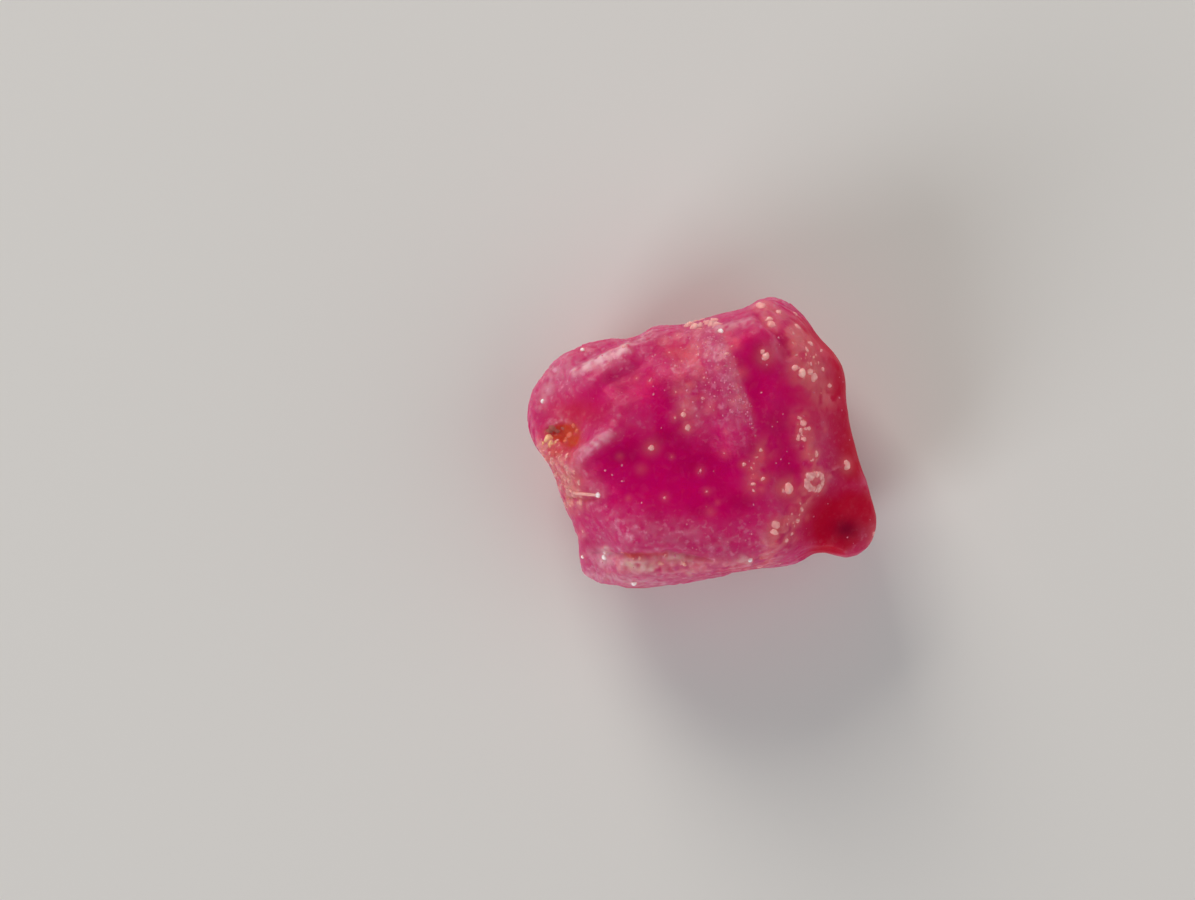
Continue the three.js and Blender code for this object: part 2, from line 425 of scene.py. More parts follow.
# Partly rubbed crests, partly painted sheen and highlights: the streak along the upper left crest, the lip at
# the top, the glint and the sheen on the lower rim, and the pale upper left.
painted_sheen_and_scuff = UPPER * clamp(0.75 + 1.2 * random_swell(0.13, 27)) * np.maximum.reduce([
    0.9 * band((-3.1, 1.68), (-1.85, 2.26), 0.10),
    0.5 * band((-1.85, 2.26), (-1.25, 2.62), 0.08),
    0.5 * band((-2.85, -0.2), (-2.3, 0.15), 0.12),
    0.5 * band((0.35, 2.78), (1.15, 2.95), 0.11),
    0.4 * band((-3.95, 0.9), (-3.6, 1.8), 0.14),
    0.7 * spot(-2.42, -2.8, 0.22, 0.26),
    0.45 * band((-2.85, -3.25), (-1.0, -3.45), 0.16),
    0.35 * band((-2.8, -2.7), (-2.2, -2.72), 0.12),
    0.25 * spot(-3.4, 1.9, 0.6, 0.4),
])
chalk_and_glints = UPPER * np.maximum.reduce([
    1.1 * band((-1.78, -2.92), (-1.2, -2.98), 0.16),
    0.8 * band((-0.8, -2.78), (-0.3, -2.86), 0.09),
    0.5 * spot(-0.3, -3.14, 0.12, 0.08),
    # The next two small fields are painted glints: white spots on the lower rim.
    0.8 * field((-2.37, -2.62), (-2.4, -2.9), 0.04, 0.14),
    0.5 * field((1.0, -2.84), (1.3, -2.88), 0.05, 0.14),
]) * clamp(0.75 + 1.4 * random_swell(0.14, 28))
for tint_name, tint_map in (("flank", flank), ("rust", rust), ("haze", haze), ("chalk_and_glints", chalk_and_glints)):
    print(tint_name, "share of the skin:", round(float(clamp(tint_map).mean()), 3))

# %% [markdown]
# ## Chips
# Corundum breaks in shallow curved dishes, as thick glass does. A dish is what is left when the
# skin is pushed out of a large ball, so that is how each one is cut here. The wide, nearly flat
# ones lie under the girdle, where the outline can't change. Middle-sized ones also reach up the
# sides, and small shallow ones batter the frosted rind.

# %% Cut the chips
chance = np.random.default_rng(11)


def chip(shape, place, outward, ball, depth):
    """Pushes the skin out of a ball that reaches the given depth below a place on it."""
    middle = place + outward * (ball - depth)
    away = shape - middle
    distance = np.linalg.norm(away, axis=1)
    inside = distance < ball
    shape[inside] = middle + away[inside] / distance[inside, None] * ball


def cut_chips(shape, count, ball_sizes, depths, likely, tilt):
    """Random chips, more often where likely is high. The ball leans by tilt. Sizes are in mm."""
    for index in chance.choice(len(shape), count, p=likely / likely.sum()):
        outward = normals[index] + tilt * chance.normal(size=3)
        outward /= np.linalg.norm(outward)
        ball = chance.uniform(*ball_sizes)
        chip(shape, shape[index].copy(), outward, ball, chance.uniform(*depths))


shaped = points.copy()
undercut = clamp(-2 * normals[:, 2]) * (points[:, 2] > 0.3)
cut_chips(shaped, 22, (5, 11), (0.07, 0.15), undercut, 0.10)
sides = undercut + 0.4 * clamp(SIDEWAYS - 0.4)
cut_chips(shaped, 30, (1.0, 2.4), (0.01, 0.03), sides, 0.10)
battered = (0.04 + clamp(frost_and_sheen)) * (1 - window) * (1 - flank)
cut_chips(shaped, 160, (0.3, 0.8), (0.006, 0.016), battered, 0.05)
write_skin(shaped)
normals = read_skin("normal")
print("deepest chip, mm:", round(float(np.linalg.norm(shaped - points, axis=1).max()), 3))

# %% [markdown]
# ## Crests, steps and etching
# On top of the chips lie the marks that can be named one by one: the crest at the upper left, the
# lip beside the window, the crack and the stained pit. Growth leaves level steps round the flanks,
# and acids in the ground leave a fine sugary tooth. Each is a small height along the skin's normal.

# %% Relief
STEP_HEIGHT = 0.28  # mm between growth steps
STEP_RELIEF = 0.08  # mm that a step stands out
level = points[:, 2] / STEP_HEIGHT + 1.1 * random_swell(1.6, 6)
broken = clamp(0.5 + 1.2 * random_swell(1.1, 12))  # no step runs all the way round
steps = STEP_RELIEF * (level - np.floor(level) - 0.5) * SIDEWAYS * broken * (1 - flank)

rind = clamp(frost_and_sheen)
creases = random_swell(0.42, 19) * random_swell(0.9, 20)
tooth = 0.016 * random_swell(0.10, 7) + 0.030 * random_swell(0.2, 8)
tooth *= 0.05 + 0.7 * rind + 0.7 * peach + 0.8 * rust + 0.9 * haze + chalk_and_glints

marks = UPPER * (
    0.13 * crest((-3.13, 1.66), (-1.83, 2.28), 0.28)
    + 0.08 * crest((-2.9, 2.28), (-1.2, 2.72), 0.2)
    + 0.12 * crest((-3.05, -0.3), (-2.3, 0.2), 0.26)
    + 0.05 * crest((3.5, -0.53), (2.95, -0.7), 0.09)
    + 0.03 * crest((0.35, 2.78), (1.25, 2.96), 0.14)
    - 0.05 * crest((1.3, 3.1), (2.0, 2.3), 0.12)
    - 0.07 * crest((-2.7, -2.68), (-1.9, -2.72), 0.14)
    - 0.06 * crest((-1.75, -2.70), (-1.0, -2.76), 0.12)
    - 0.07 * crest((-0.9, -2.66), (0.2, -2.84), 0.12)
    - 0.16 * spot(-3.55, 0.25, 0.22, 0.14)
    - 0.06 * crest((-3.3, -1.35), (-2.6, -1.38), 0.10)
    + 0.03 * chalk_and_glints
    + 0.006 * veil * streaks
)
height = 0.045 * random_swell(0.9, 4) * (1 - 0.6 * window)
height = height + 0.05 * creases * rind + steps + tooth + marks
shaped = shaped + normals * height[:, None]
print("relief, mm:", round(float(height.min()), 3), "to", round(float(height.max()), 3))

# %% [markdown]
# The skin stays in the frame's box. The whole stone is brought to that box first, and the resting
# face is pressed flat again, because a stone can't reach below the table.

# %% Back into the box
shaped[:, 2] = np.maximum(shaped[:, 2], 0)
low, high = shaped.min(axis=0), shaped.max(axis=0)
shaped = STONE_LOW + (shaped - low) / (high - low) * (STONE_HIGH - STONE_LOW)
write_skin(shaped)
skin.shade_smooth()
normals = read_skin("normal")
surface = BVHTree.FromPolygons(shaped.tolist(), [tuple(face.vertices) for face in skin.polygons])
print("skin's box, mm:", shaped.min(axis=0).round(3), "to", shaped.max(axis=0).round(3))

# %% [markdown]
# ## Worn crests, with painted highlight and shade
# Rolling in a river bed rubs the crests first, and a rubbed crest turns pale, because it is crazed
# with tiny cracks. Here that paleness also paints the highlights that crests catch, and hollows are
# kept a little less frosted, which is painted shade. A point on a crest stands proud of the average
# of its neighbours. Averaging a few times over widens the neighbourhood to about a fifth of a
# millimetre.

# %% Find the crests
edge_ends = np.empty(len(skin.edges) * 2, dtype=np.int64)
skin.edges.foreach_get("vertices", edge_ends)
one_end, other_end = edge_ends.reshape(-1, 2).T
neighbours = np.bincount(one_end, minlength=len(points))
neighbours += np.bincount(other_end, minlength=len(points))
AVERAGING_ROUNDS = 12
FULLY_WORN = 0.022  # mm that a crest stands proud of its neighbourhood


def average_of_neighbours(values):
    total = np.bincount(one_end, values[other_end], len(points))
    total += np.bincount(other_end, values[one_end], len(points))
    return total / neighbours


smoothed = shaped.copy()
for _ in range(AVERAGING_ROUNDS):
    smoothed = np.stack([average_of_neighbours(smoothed[:, axis]) for axis in range(3)], axis=1)
proud = ((shaped - smoothed) * normals).sum(axis=1)
worn_and_highlit = clamp(proud / FULLY_WORN) * (1 - 0.7 * flank)
hollow = clamp(-proud / FULLY_WORN)
# Paler crests are part wear, part painted highlight; the hollows' lesser frost is painted shade.
frost_and_sheen = clamp(frost_and_sheen + 0.30 * worn_and_highlit - 0.05 * hollow)
painted_sheen_and_scuff = np.maximum(painted_sheen_and_scuff, (0.4 - 0.2 * UPPER) * worn_and_highlit * wisps * (1 - window))
print("worn crests, share of the skin:", round(float((worn_and_highlit > 0.5).mean()), 3))

# %% [markdown]
# ## Where the grains lie
# Grains of calcite and feldspar were caught in the ruby as it grew. They lie in a belt down the
# right side and one by one in the windows, each with more than half of it under the skin. Others
# are strewn along loose trails, so deep that only a blush shows, and a few groups lie round the
# sides. The bright glints are painted highlights: lumps with a white tip that sit higher than the
# grains. The lists give each place from above and each radius, all in millimetres. The ring-shaped
# one is a small circle of grains. A soft pale halo round each one shows how the ruby clouds near
# it; round the glints that halo is painted glow.

# %% List the grains
BELT = [
    (1.39, 3.34, 0.12), (1.60, 2.98, 0.09), (1.66, 2.86, 0.10), (1.84, 3.16, 0.07), (2.30, 2.81, 0.09),
    (2.60, 2.40, 0.10), (2.52, 2.25, 0.06), (1.51, 2.07, 0.11), (1.44, 2.19, 0.06), (2.39, 1.68, 0.12),
    (2.69, 1.57, 0.17), (2.58, 1.70, 0.09), (2.92, 1.78, 0.06), (3.08, 1.38, 0.06), (2.22, 1.80, 0.07),
    (2.42, 0.48, 0.08), (2.36, 0.30, 0.05), (2.30, 0.12, 0.07), (2.44, 0.08, 0.06), (2.56, 0.34, 0.05),
    (2.75, -0.29, 0.07), (2.66, -0.42, 0.05), (2.07, -1.12, 0.12), (1.94, -1.16, 0.06), (3.52, -0.53, 0.09),
    (1.77, -1.98, 0.10), (1.72, -2.16, 0.08), (2.30, -1.89, 0.07), (2.40, -1.62, 0.06), (2.02, -2.36, 0.07),
    (1.45, -0.88, 0.06), (1.21, -1.00, 0.05), (0.98, -0.53, 0.05), (1.39, -0.18, 0.06), (2.16, -2.20, 0.05),
    (-1.25, -0.13, 0.08), (-0.47, 0.68, 0.07), (-0.37, 0.36, 0.07),
]
RING_MIDDLE, RING_RADIUS, RING_COUNT = (2.72, -0.94), 0.19, 18
for turn in np.arange(RING_COUNT) * 2 * np.pi / RING_COUNT:
    reach = RING_RADIUS * chance.uniform(0.88, 1.15)
    x = RING_MIDDLE[0] + reach * np.cos(turn)
    y = RING_MIDDLE[1] + reach * np.sin(turn)
    BELT.append((x, y, chance.uniform(0.065, 0.09)))

STREWN = []
TRAILS = [  # start, end, spread and count of buried grains strewn along a line
    ((-0.3, 2.6), (-0.35, 0.7), 0.30, 26),
    ((0.6, 2.5), (1.0, 0.9), 0.12, 14),
    ((2.2, 2.8), (2.7, 1.5), 0.16, 22),
    ((2.35, 0.6), (2.55, -0.3), 0.12, 14),
    ((2.5, -1.3), (1.6, -2.6), 0.13, 20),
    ((1.5, 0.0), (1.1, -1.1), 0.15, 8),
]
for start, end, spread, count in TRAILS:
    for along in chance.uniform(0, 1, count):
        x, y = np.array(start) * (1 - along) + np.array(end) * along + chance.normal(0, spread, 2)
        STREWN.append((x, y, chance.uniform(0.04, 0.085)))

SPECKS = [
    (-1.48, -0.64, 0.06), (-2.01, -0.34, 0.04),
    (0.51, -0.26, 0.06), (-0.06, -0.68, 0.05), (-0.92, -1.33, 0.05), (0.18, -1.68, 0.06), (0.09, -1.18, 0.04),
    (0.74, 1.92, 0.06), (-0.12, 2.13, 0.07), (-0.09, 1.72, 0.06), (0.00, 1.07, 0.06), (-1.80, -1.35, 0.04),
    (-0.65, 1.85, 0.05), (-1.60, 1.55, 0.04), (0.55, 0.25, 0.04), (-0.75, -0.35, 0.03), (0.35, -1.45, 0.03),
]
# Glints are painted highlights: each becomes a lump with a white tip.
GLINTS = [
    (-2.37, -2.78, 0.09), (-2.36, -2.66, 0.06), (-2.90, -2.78, 0.05), (-1.67, -3.42, 0.08),
    (0.44, 2.70, 0.07), (-2.90, 2.25, 0.05), (-3.87, 1.01, 0.06), (1.15, -2.84, 0.06),
    (-2.53, -1.27, 0.07),
]
SIDE_GRAINS = 50  # scattered in loose groups round the sides, which the lists don't cover
print("grains:", len(BELT), "strewn:", len(STREWN), "specks:", len(SPECKS), "glints:", len(GLINTS))

# %% Set them on the skin
SKY_HEIGHT = 10.0  # mm, well above the stone
GIRDLE_HEIGHT = 2.05  # mm, the level at which the stone is widest
CORE_TO_GRAIN = 1.4  # the lists give the bright cores, and a grain is a little wider
SIDE_GRAIN_SUNK = 0.8  # share of its radius
HALO_REACH = 1.6  # times a grain's radius


def skin_below(x, y):
    """The place on the skin straight below a point, or else the nearest, and the way it faces."""
    place, outward, _, _ = surface.ray_cast(Vector((x, y, SKY_HEIGHT)), Vector((0, 0, -1)))
    if place is None:
        place, outward, _, _ = surface.find_nearest(Vector((x, y, GIRDLE_HEIGHT)))
    return np.array(place), np.array(outward)


def settle(listed, sunk):
    """Turns listed grains into (middle, outward, radius), sunk into the skin by a share of the radius."""
    settled = []
    for x, y, core_radius in listed:
        radius = core_radius * CORE_TO_GRAIN
        place, outward = skin_below(x, y)
        settled.append((place - outward * radius * sunk, outward, radius))
    return settled


belt_grains = settle(BELT, 0.6)
strewn_grains = settle(STREWN, 0.88)
grouped = SIDEWAYS * (points[:, 2] > 0.2) * clamp(3 * random_swell(1.0, 24)) ** 2
for index in chance.choice(len(shaped), SIDE_GRAINS, p=grouped / grouped.sum()):
    radius = chance.uniform(0.06, 0.15)
    strewn_grains.append((shaped[index] - normals[index] * radius * SIDE_GRAIN_SUNK, normals[index], radius))
speck_grains = settle(SPECKS, 0.8)
painted_glint_lumps = settle(GLINTS, 0.45)

halo = np.zeros(len(shaped))
# Round the glints the halo is painted glow.
clouded = ((0.8, belt_grains), (0.55, strewn_grains), (0.45, speck_grains), (0.4, painted_glint_lumps))
for strength, grains in clouded:
    for middle, _, radius in grains:
        away = np.linalg.norm(shaped - middle, axis=1)
        halo = np.maximum(halo, strength * np.exp(-(away / (HALO_REACH * radius)) ** 2))
print("halo, share of the skin:", round(float(halo.mean()), 3))

# %% [markdown]
# ## Ruby
# Ruby is corundum coloured by chromium. It takes out green light fast and blue light more slowly,
# so thin edges look pink and the deep body looks crimson. Its index is 1.76. Chromium also gives
# back part of the light as a faint red glow, so a ruby's shadows are never grey. The etched rind
# scatters light before it gets in, so part of the shader is plain coloured scatter there, and it
# has the faint greasy shine of a worn stone. The maps made above reach the material as attributes
# of the skin.
#
# Some things differ from the real stone. On a pale table a full reflection lays a grey veil over
# the clear slopes, so it is turned down and tinted red. The windows' roughness stays at 0.3,
# because smoother ones show faults when the render is denoised. The red glow is also stronger than
# chromium's alone: most of it is a painted glow that stands in for light that has wandered through
# the whole stone, and it lifts the stone's shade.

# %% Maps onto the skin
skin_maps = {
    "frost_and_sheen": frost_and_sheen, "flank": flank, "warm": warm, "rust": rust, "peach": peach,
    "haze": haze, "painted_sheen_and_scuff": painted_sheen_and_scuff, "chalk_and_glints": chalk_and_glints, "veil": veil, "halo": halo, "dark_lobe_spot": dark_lobe_spot,
}
for name, values in skin_maps.items():
    layer = skin.attributes.new(name, "FLOAT", "POINT")
    layer.data.foreach_set("value", clamp(values).astype(np.float32))
print("maps on the skin:", ", ".join(skin_maps))


def place_in_mm(tree):
    """The object's own coordinates in millimetres, so that a noise scale is 1 / size in mm."""
    place = add_node(tree, "ShaderNodeTexCoord").outputs["Object"]
    return add_node(tree, "ShaderNodeVectorMath", {0: place, "Scale": 1 / MM}, operation="SCALE").outputs[0]


# %% Ruby material
CLEAR_THROUGH = 0.4  # share of light that goes through a clear window unscattered
RIND_THROUGH = 0.15  # and through the rind
RED_GLOW = 0.08  # painted red glow: a little is chromium's fluorescence, most stands in for light that has wandered through the whole stone
CLEAR_RUBY = "#D40078"
TINTS = {
    "deep": "#A00050",  # darker clouds inside the windows
    "smudge": "#D84080",  # and paler ones
    "flank": "#B40018",  # crimson where the stone is thick
    "frost_and_sheen": "#C0507A",  # pink rind, also used where the map paints sheen
    "bloom": "#DC8CAC",  # its pale flecks
    "warm": "#C82840",  # iron tint
    "haze": "#E08088",  # clouded ruby along the belt
    "peach": "#E0948C",  # sugary crumbs
    "halo": "#E07C80",  # cloud round a grain, and painted glow round a glint
    "painted_sheen_and_scuff": "#E8C8D0",  # rubbed crests, and painted sheen and highlights
    "chalk_and_glints": "#DCBCB0",  # left of the marble, and painted glints
    "rust": "#C44820",  # iron stain
    "dark_lobe_spot": "#480018",  # dark spot in the lobe
}
ABSORBED_TO = "#FB00E5"  # the light left over: green goes first, then some of the blue
ABSORPTION = 600.0  # per metre
RUBY_INDEX = 1.76
GRIT_SIZE = 0.07  # mm. The real tooth is finer, and is drawn this coarse so that it shows.
FLECK_SIZE = 0.13  # mm, as are the next four
CLOUD_SIZE = 0.28
WISP_SIZE = 0.32
SMOKE_SIZE = 0.9
DROP_SPACING = 0.13  # the real droplets are a few hundredths apart, and would melt together
MIX_SHARE, MIX_FIRST, MIX_SECOND, MIX_RESULT = 0, 6, 7, 2  # sockets of a colour mix


def make_ruby():
    material, tree = new_material("etched_ruby")
    in_mm = place_in_mm(tree)
    maps = {
        name: add_node(tree, "ShaderNodeAttribute", attribute_name=name).outputs["Fac"]
        for name in skin_maps
    }
    grit = add_node(tree, "ShaderNodeTexNoise", {
        "Vector": in_mm, "Scale": 1 / GRIT_SIZE, "Detail": 4.0}).outputs["Fac"]
    cloud = add_node(tree, "ShaderNodeTexNoise", {
        "Vector": in_mm, "Scale": 1 / CLOUD_SIZE, "Detail": 5.0, "Roughness": 0.65}).outputs["Fac"]

    # Healed cracks are sheets of tiny droplets, which whiten the veil in dots.
    drops = add_node(tree, "ShaderNodeTexVoronoi", {
        "Vector": in_mm, "Scale": 1 / DROP_SPACING}).outputs["Distance"]
    dotted = add_node(tree, "ShaderNodeMapRange", {
        "Value": drops, "From Min": 0.42, "From Max": 0.12, "To Min": 0.35, "To Max": 1.2}).outputs["Result"]
    veiled = add_node(tree, "ShaderNodeMath", {
        0: maps["veil"], 1: dotted}, operation="MULTIPLY").outputs["Value"]

    # The windows aren't one flat colour: darker and paler clouds drift through them.
    smoke = add_node(tree, "ShaderNodeTexNoise", {
        "Vector": in_mm, "Scale": 1 / SMOKE_SIZE, "Detail": 3.0}).outputs["Fac"]
    maps["deep"] = add_node(tree, "ShaderNodeMapRange", {
        "Value": smoke, "From Min": 0.42, "From Max": 0.68, "To Max": 0.5}).outputs["Result"]
    wisp = add_node(tree, "ShaderNodeTexNoise", {
        "Vector": in_mm, "Scale": 1 / WISP_SIZE, "Detail": 2.0, "Distortion": 0.6}).outputs["Fac"]
    maps["smudge"] = add_node(tree, "ShaderNodeMapRange", {
        "Value": wisp, "From Min": 0.56, "From Max": 0.76, "To Max": 0.3}).outputs["Result"]

    # The rind is mottled: a soft mist with small pale flecks on top.
    misted = add_node(tree, "ShaderNodeMapRange", {
        "Value": cloud, "From Min": 0.3, "From Max": 0.7, "To Min": 0.4, "To Max": 1.6}).outputs["Result"]
    fleck = add_node(tree, "ShaderNodeTexNoise", {
        "Vector": in_mm, "Scale": 1 / FLECK_SIZE, "Detail": 2.0}).outputs["Fac"]
    flecked = add_node(tree, "ShaderNodeMapRange", {
        "Value": fleck, "From Min": 0.56, "From Max": 0.70, "To Min": 0.0, "To Max": 0.7}).outputs["Result"]
    mottled = add_node(tree, "ShaderNodeMath", {
        0: misted, 1: flecked}, operation="ADD").outputs["Value"]
    maps["bloom"] = add_node(tree, "ShaderNodeMath", {
        0: maps["frost_and_sheen"], 1: flecked}, operation="MULTIPLY").outputs["Value"]
    frosted = add_node(tree, "ShaderNodeMath", {
        0: maps["frost_and_sheen"], 1: mottled}, operation="MULTIPLY").outputs["Value"]
    maps["frost_and_sheen"] = add_node(tree, "ShaderNodeMath", {
        0: veiled, 1: 0.5, 2: frosted}, operation="MULTIPLY_ADD", use_clamp=True).outputs["Value"]

    tinted = colour(CLEAR_RUBY)
    for name, tint in TINTS.items():
        tinted = add_node(tree, "ShaderNodeMix", {
            MIX_SHARE: maps[name], MIX_FIRST: tinted, MIX_SECOND: colour(tint),
        }, data_type="RGBA").outputs[MIX_RESULT]

    milky = add_node(tree, "ShaderNodeMath", {
        0: maps["frost_and_sheen"], 1: maps["flank"]}, operation="MAXIMUM").outputs["Value"]
    see_through = add_node(tree, "ShaderNodeMapRange", {
        "Value": milky, "To Min": CLEAR_THROUGH, "To Max": RIND_THROUGH}).outputs["Result"]
    softness = add_node(tree, "ShaderNodeMapRange", {
        "Value": milky, "To Min": 1.0, "To Max": 0.45}).outputs["Result"]
    polish = add_node(tree, "ShaderNodeMapRange", {
        "Value": milky, "To Min": 0.3, "To Max": 0.6}).outputs["Result"]
    greasy = add_node(tree, "ShaderNodeMath", {
        0: maps["frost_and_sheen"], 1: 0.4}, operation="MULTIPLY").outputs["Value"]
    bump = add_node(tree, "ShaderNodeBump", {"Height": grit, "Strength": 0.5, "Distance": 0.03 * MM})

    shader = add_node(tree, "ShaderNodeBsdfPrincipled", {
        "Base Color": tinted,
        "Roughness": polish,
        "IOR": RUBY_INDEX,
        "Specular IOR Level": 0.04,
        "Specular Tint": colour("#FF3470"),
        "Coat Weight": greasy,
        "Coat Roughness": 0.25,
        "Coat IOR": 1.5,
        "Transmission Weight": see_through,
        "Subsurface Weight": softness,
        "Subsurface Radius": (1.0, 0.12, 0.35),
        "Subsurface Scale": 0.4 * MM,
        "Emission Color": colour("#FF1060"),
        "Emission Strength": RED_GLOW,
        "Normal": bump.outputs["Normal"],
    })
    body = add_node(tree, "ShaderNodeVolumeAbsorption", {
        "Color": colour(ABSORBED_TO), "Density": ABSORPTION})
    add_node(tree, "ShaderNodeOutputMaterial", {
        "Surface": shader.outputs["BSDF"], "Volume": body.outputs["Volume"]})
    return material


write_skin(shaped * MM)
skin.materials.clear()
skin.materials.append(make_ruby())
ruby = bpy.data.objects.new("ruby", skin)
bpy.context.scene.collection.objects.link(ruby)
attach(ruby, "root")
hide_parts("ruby_crystal")
print("ruby material nodes:", len(skin.materials[0].node_tree.nodes))

# %% [markdown]
# ## Mineral grains
# Calcite grains are rounded lumps, a little longer than wide, with a bumpy skin. A grain starts as
# a small ball, is stretched along its own axes and roughened with noise. All grains of one kind are
# joined into one mesh. Each point also stores how high it stands above the ruby: where a grain
# dips under the skin it takes on the ruby's colour, and only its top shows its own.

# %% Make lumps
lump_chance = np.random.default_rng(29)


def ball_template(fineness):
    ball = bmesh.new()
    bmesh.ops.create_icosphere(ball, subdivisions=fineness, radius=1.0)
    corners = np.array([corner.co for corner in ball.verts])
    faces = np.array([[corner.index for corner in face.verts] for face in ball.faces])
    ball.free()
    return corners, faces


def make_lumps(name, grains, fineness, roughness, flattening=1.0):
    """One mesh of many lumps. Each grain is (middle, outward, radius) in mm."""
    ball, ball_faces = ball_template(fineness)
    corners, faces = [], []
    for middle, outward, radius in grains:
        turn = np.array(Vector(outward).to_track_quat("Z", "Y").to_matrix())
        spin = lump_chance.uniform(0, 2 * np.pi)
        about = np.array([[np.cos(spin), -np.sin(spin), 0], [np.sin(spin), np.cos(spin), 0], [0, 0, 1]])
        stretch = lump_chance.uniform((0.75, 0.85, 0.8 * flattening), (1.0, 1.25, 1.0 * flattening))
        shift = Vector(lump_chance.uniform(0, 50, 3))
        lumpy = np.array([1 + roughness * noise.noise(Vector(c) * 1.4 + shift) for c in ball])
        faces.append(ball_faces + len(ball) * len(corners))
        corners.append(middle + (ball * lumpy[:, None] * stretch) @ (turn @ about).T * radius)
    corners = np.clip(np.concatenate(corners), STONE_LOW, STONE_HIGH)
    mesh = bpy.data.meshes.new(name)
    mesh.from_pydata((corners * MM).tolist(), [], np.concatenate(faces).tolist())
    mesh.shade_smooth()

    exposed = []
    for corner in corners:
        near, facing, _, _ = surface.find_nearest(Vector(corner))
        exposed.append((Vector(corner) - near).dot(facing))
    layer = mesh.attributes.new("exposed", "FLOAT", "POINT")
    layer.data.foreach_set("value", np.array(exposed, dtype=np.float32))
    lumps = bpy.data.objects.new(name, mesh)
    bpy.context.scene.collection.objects.link(lumps)
    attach(lumps, "root")
    print(name, "grains:", len(grains), "triangles:", len(mesh.polygons))
    return lumps


# %% Grain material
GRAIN_GLOW = 0.10  # painted glow, standing in for light that the ruby round a grain passes on to it
CALCITE_INDEX = 1.66


def make_grain_material(name, sunken, body, tip, show_height, roughness, mottle_size):
    """A mineral grain that runs from the ruby's colour, where it is buried, to its own at the tip."""
    material, tree = new_material(name)
    in_mm = place_in_mm(tree)
    exposed = add_node(tree, "ShaderNodeAttribute", attribute_name="exposed").outputs["Fac"]
    mottle = add_node(tree, "ShaderNodeTexNoise", {
        "Vector": in_mm, "Scale": 1 / mottle_size, "Detail": 3.0}).outputs["Fac"]
    buried = add_node(tree, "ShaderNodeMapRange", {
        "Value": exposed, "From Min": 0.0, "From Max": show_height * 0.6}).outputs["Result"]
    topmost = add_node(tree, "ShaderNodeMapRange", {
        "Value": exposed, "From Min": show_height * 0.4, "From Max": show_height * 1.2}).outputs["Result"]
    spotted = add_node(tree, "ShaderNodeMath", {
        0: topmost, 1: mottle, 2: 0.1}, operation="MULTIPLY_ADD").outputs["Value"]
    tinted = colour(sunken)
    for share, tint in ((buried, body), (spotted, tip)):
        tinted = add_node(tree, "ShaderNodeMix", {
            MIX_SHARE: share, MIX_FIRST: tinted, MIX_SECOND: colour(tint),
        }, data_type="RGBA").outputs[MIX_RESULT]
    bump = add_node(tree, "ShaderNodeBump", {"Height": mottle, "Strength": 0.5, "Distance": 0.02 * MM})
    shader = add_node(tree, "ShaderNodeBsdfPrincipled", {
        "Base Color": tinted,
        "Roughness": roughness,
        "IOR": CALCITE_INDEX,
        "Subsurface Weight": 0.8,
        "Subsurface Radius": (1.0, 0.6, 0.5),
        "Subsurface Scale": 0.2 * MM,
        # The emission is a painted glow.
        "Emission Color": colour("#FFA8A0"),
        "Emission Strength": GRAIN_GLOW,
        "Normal": bump.outputs["Normal"],
    })
    add_node(tree, "ShaderNodeOutputMaterial", {"Surface": shader.outputs["BSDF"]})
    return material


# %% Belt, specks and glints
calcite = make_grain_material("calcite_grain", "#E07080", "#E8A49C", "#F8E8DC", 0.10, 0.4, 0.12)
belt = make_lumps("belt_grains", belt_grains, 3, 0.22)
belt.data.materials.append(calcite)
strewn = make_lumps("strewn_grains", strewn_grains, 2, 0.3)
strewn.data.materials.append(calcite)

pale_crystal = make_grain_material("calcite_speck", "#DC5078", "#E88C98", "#F4CCC4", 0.06, 0.35, 0.08)
specks = make_lumps("window_specks", speck_grains, 2, 0.25)
specks.data.materials.append(pale_crystal)

# Painted highlights: lumps with a pure white tip, set where the stone shows a glint.
painted_glint_shader = make_grain_material("white_painted_glint", "#E0A0A8", "#F0DCDC", "#FFFFFF", 0.05, 0.15, 0.1)
glints = make_lumps("bright_glints", painted_glint_lumps, 2, 0.3)
glints.data.materials.append(painted_glint_shader)

# %% [markdown]
# ## Droplets of the veil
# A crack that healed while the stone was hot traps its liquid in hundreds of droplets. The largest
# are a few hundredths of a millimetre wide. These are drawn coarser, up to about an eighth of a
# millimetre, so that they show. They are scattered over the veil, thickest next to its sharp edge,
# and sparsely over the rest of the upper side.

# %% Scatter the droplets
DROPLETS = 320
DROPLET_RADII = (0.018, 0.045)  # mm
DROPLET_SUNK = 0.5  # share of its radius
likely = np.clip(veil, 0, 1) ** 1.5 * (normals[:, 2] > 0.5) + 0.012 * (normals[:, 2] > 0.3)
likely += 0.12 * spot(-0.5, 1.8, 0.6, 0.8) * (normals[:, 2] > 0.5)
droplets = []
for index in lump_chance.choice(len(shaped), DROPLETS, p=likely / likely.sum()):
    radius = lump_chance.uniform(*DROPLET_RADII)
    droplets.append((shaped[index] - normals[index] * radius * DROPLET_SUNK, normals[index], radius))
veil_material = make_grain_material("healed_crack_droplet", "#C84078", "#D0608C", "#E08CA4", 0.03, 0.4, 0.05)
veil_drops = make_lumps("veil_droplets", droplets, 1, 0.2)
veil_drops.data.materials.append(veil_material)

# %% [markdown]
# ## Sugary crumbs
# Along the left edge, down the belt and in the notch at the top the ruby ends in a crust of crumbs:
# calcite grains that the acid of the soil has loosened. They are small, angular and peach-coloured
# by iron. Their number follows the same map that tints the skin below them.

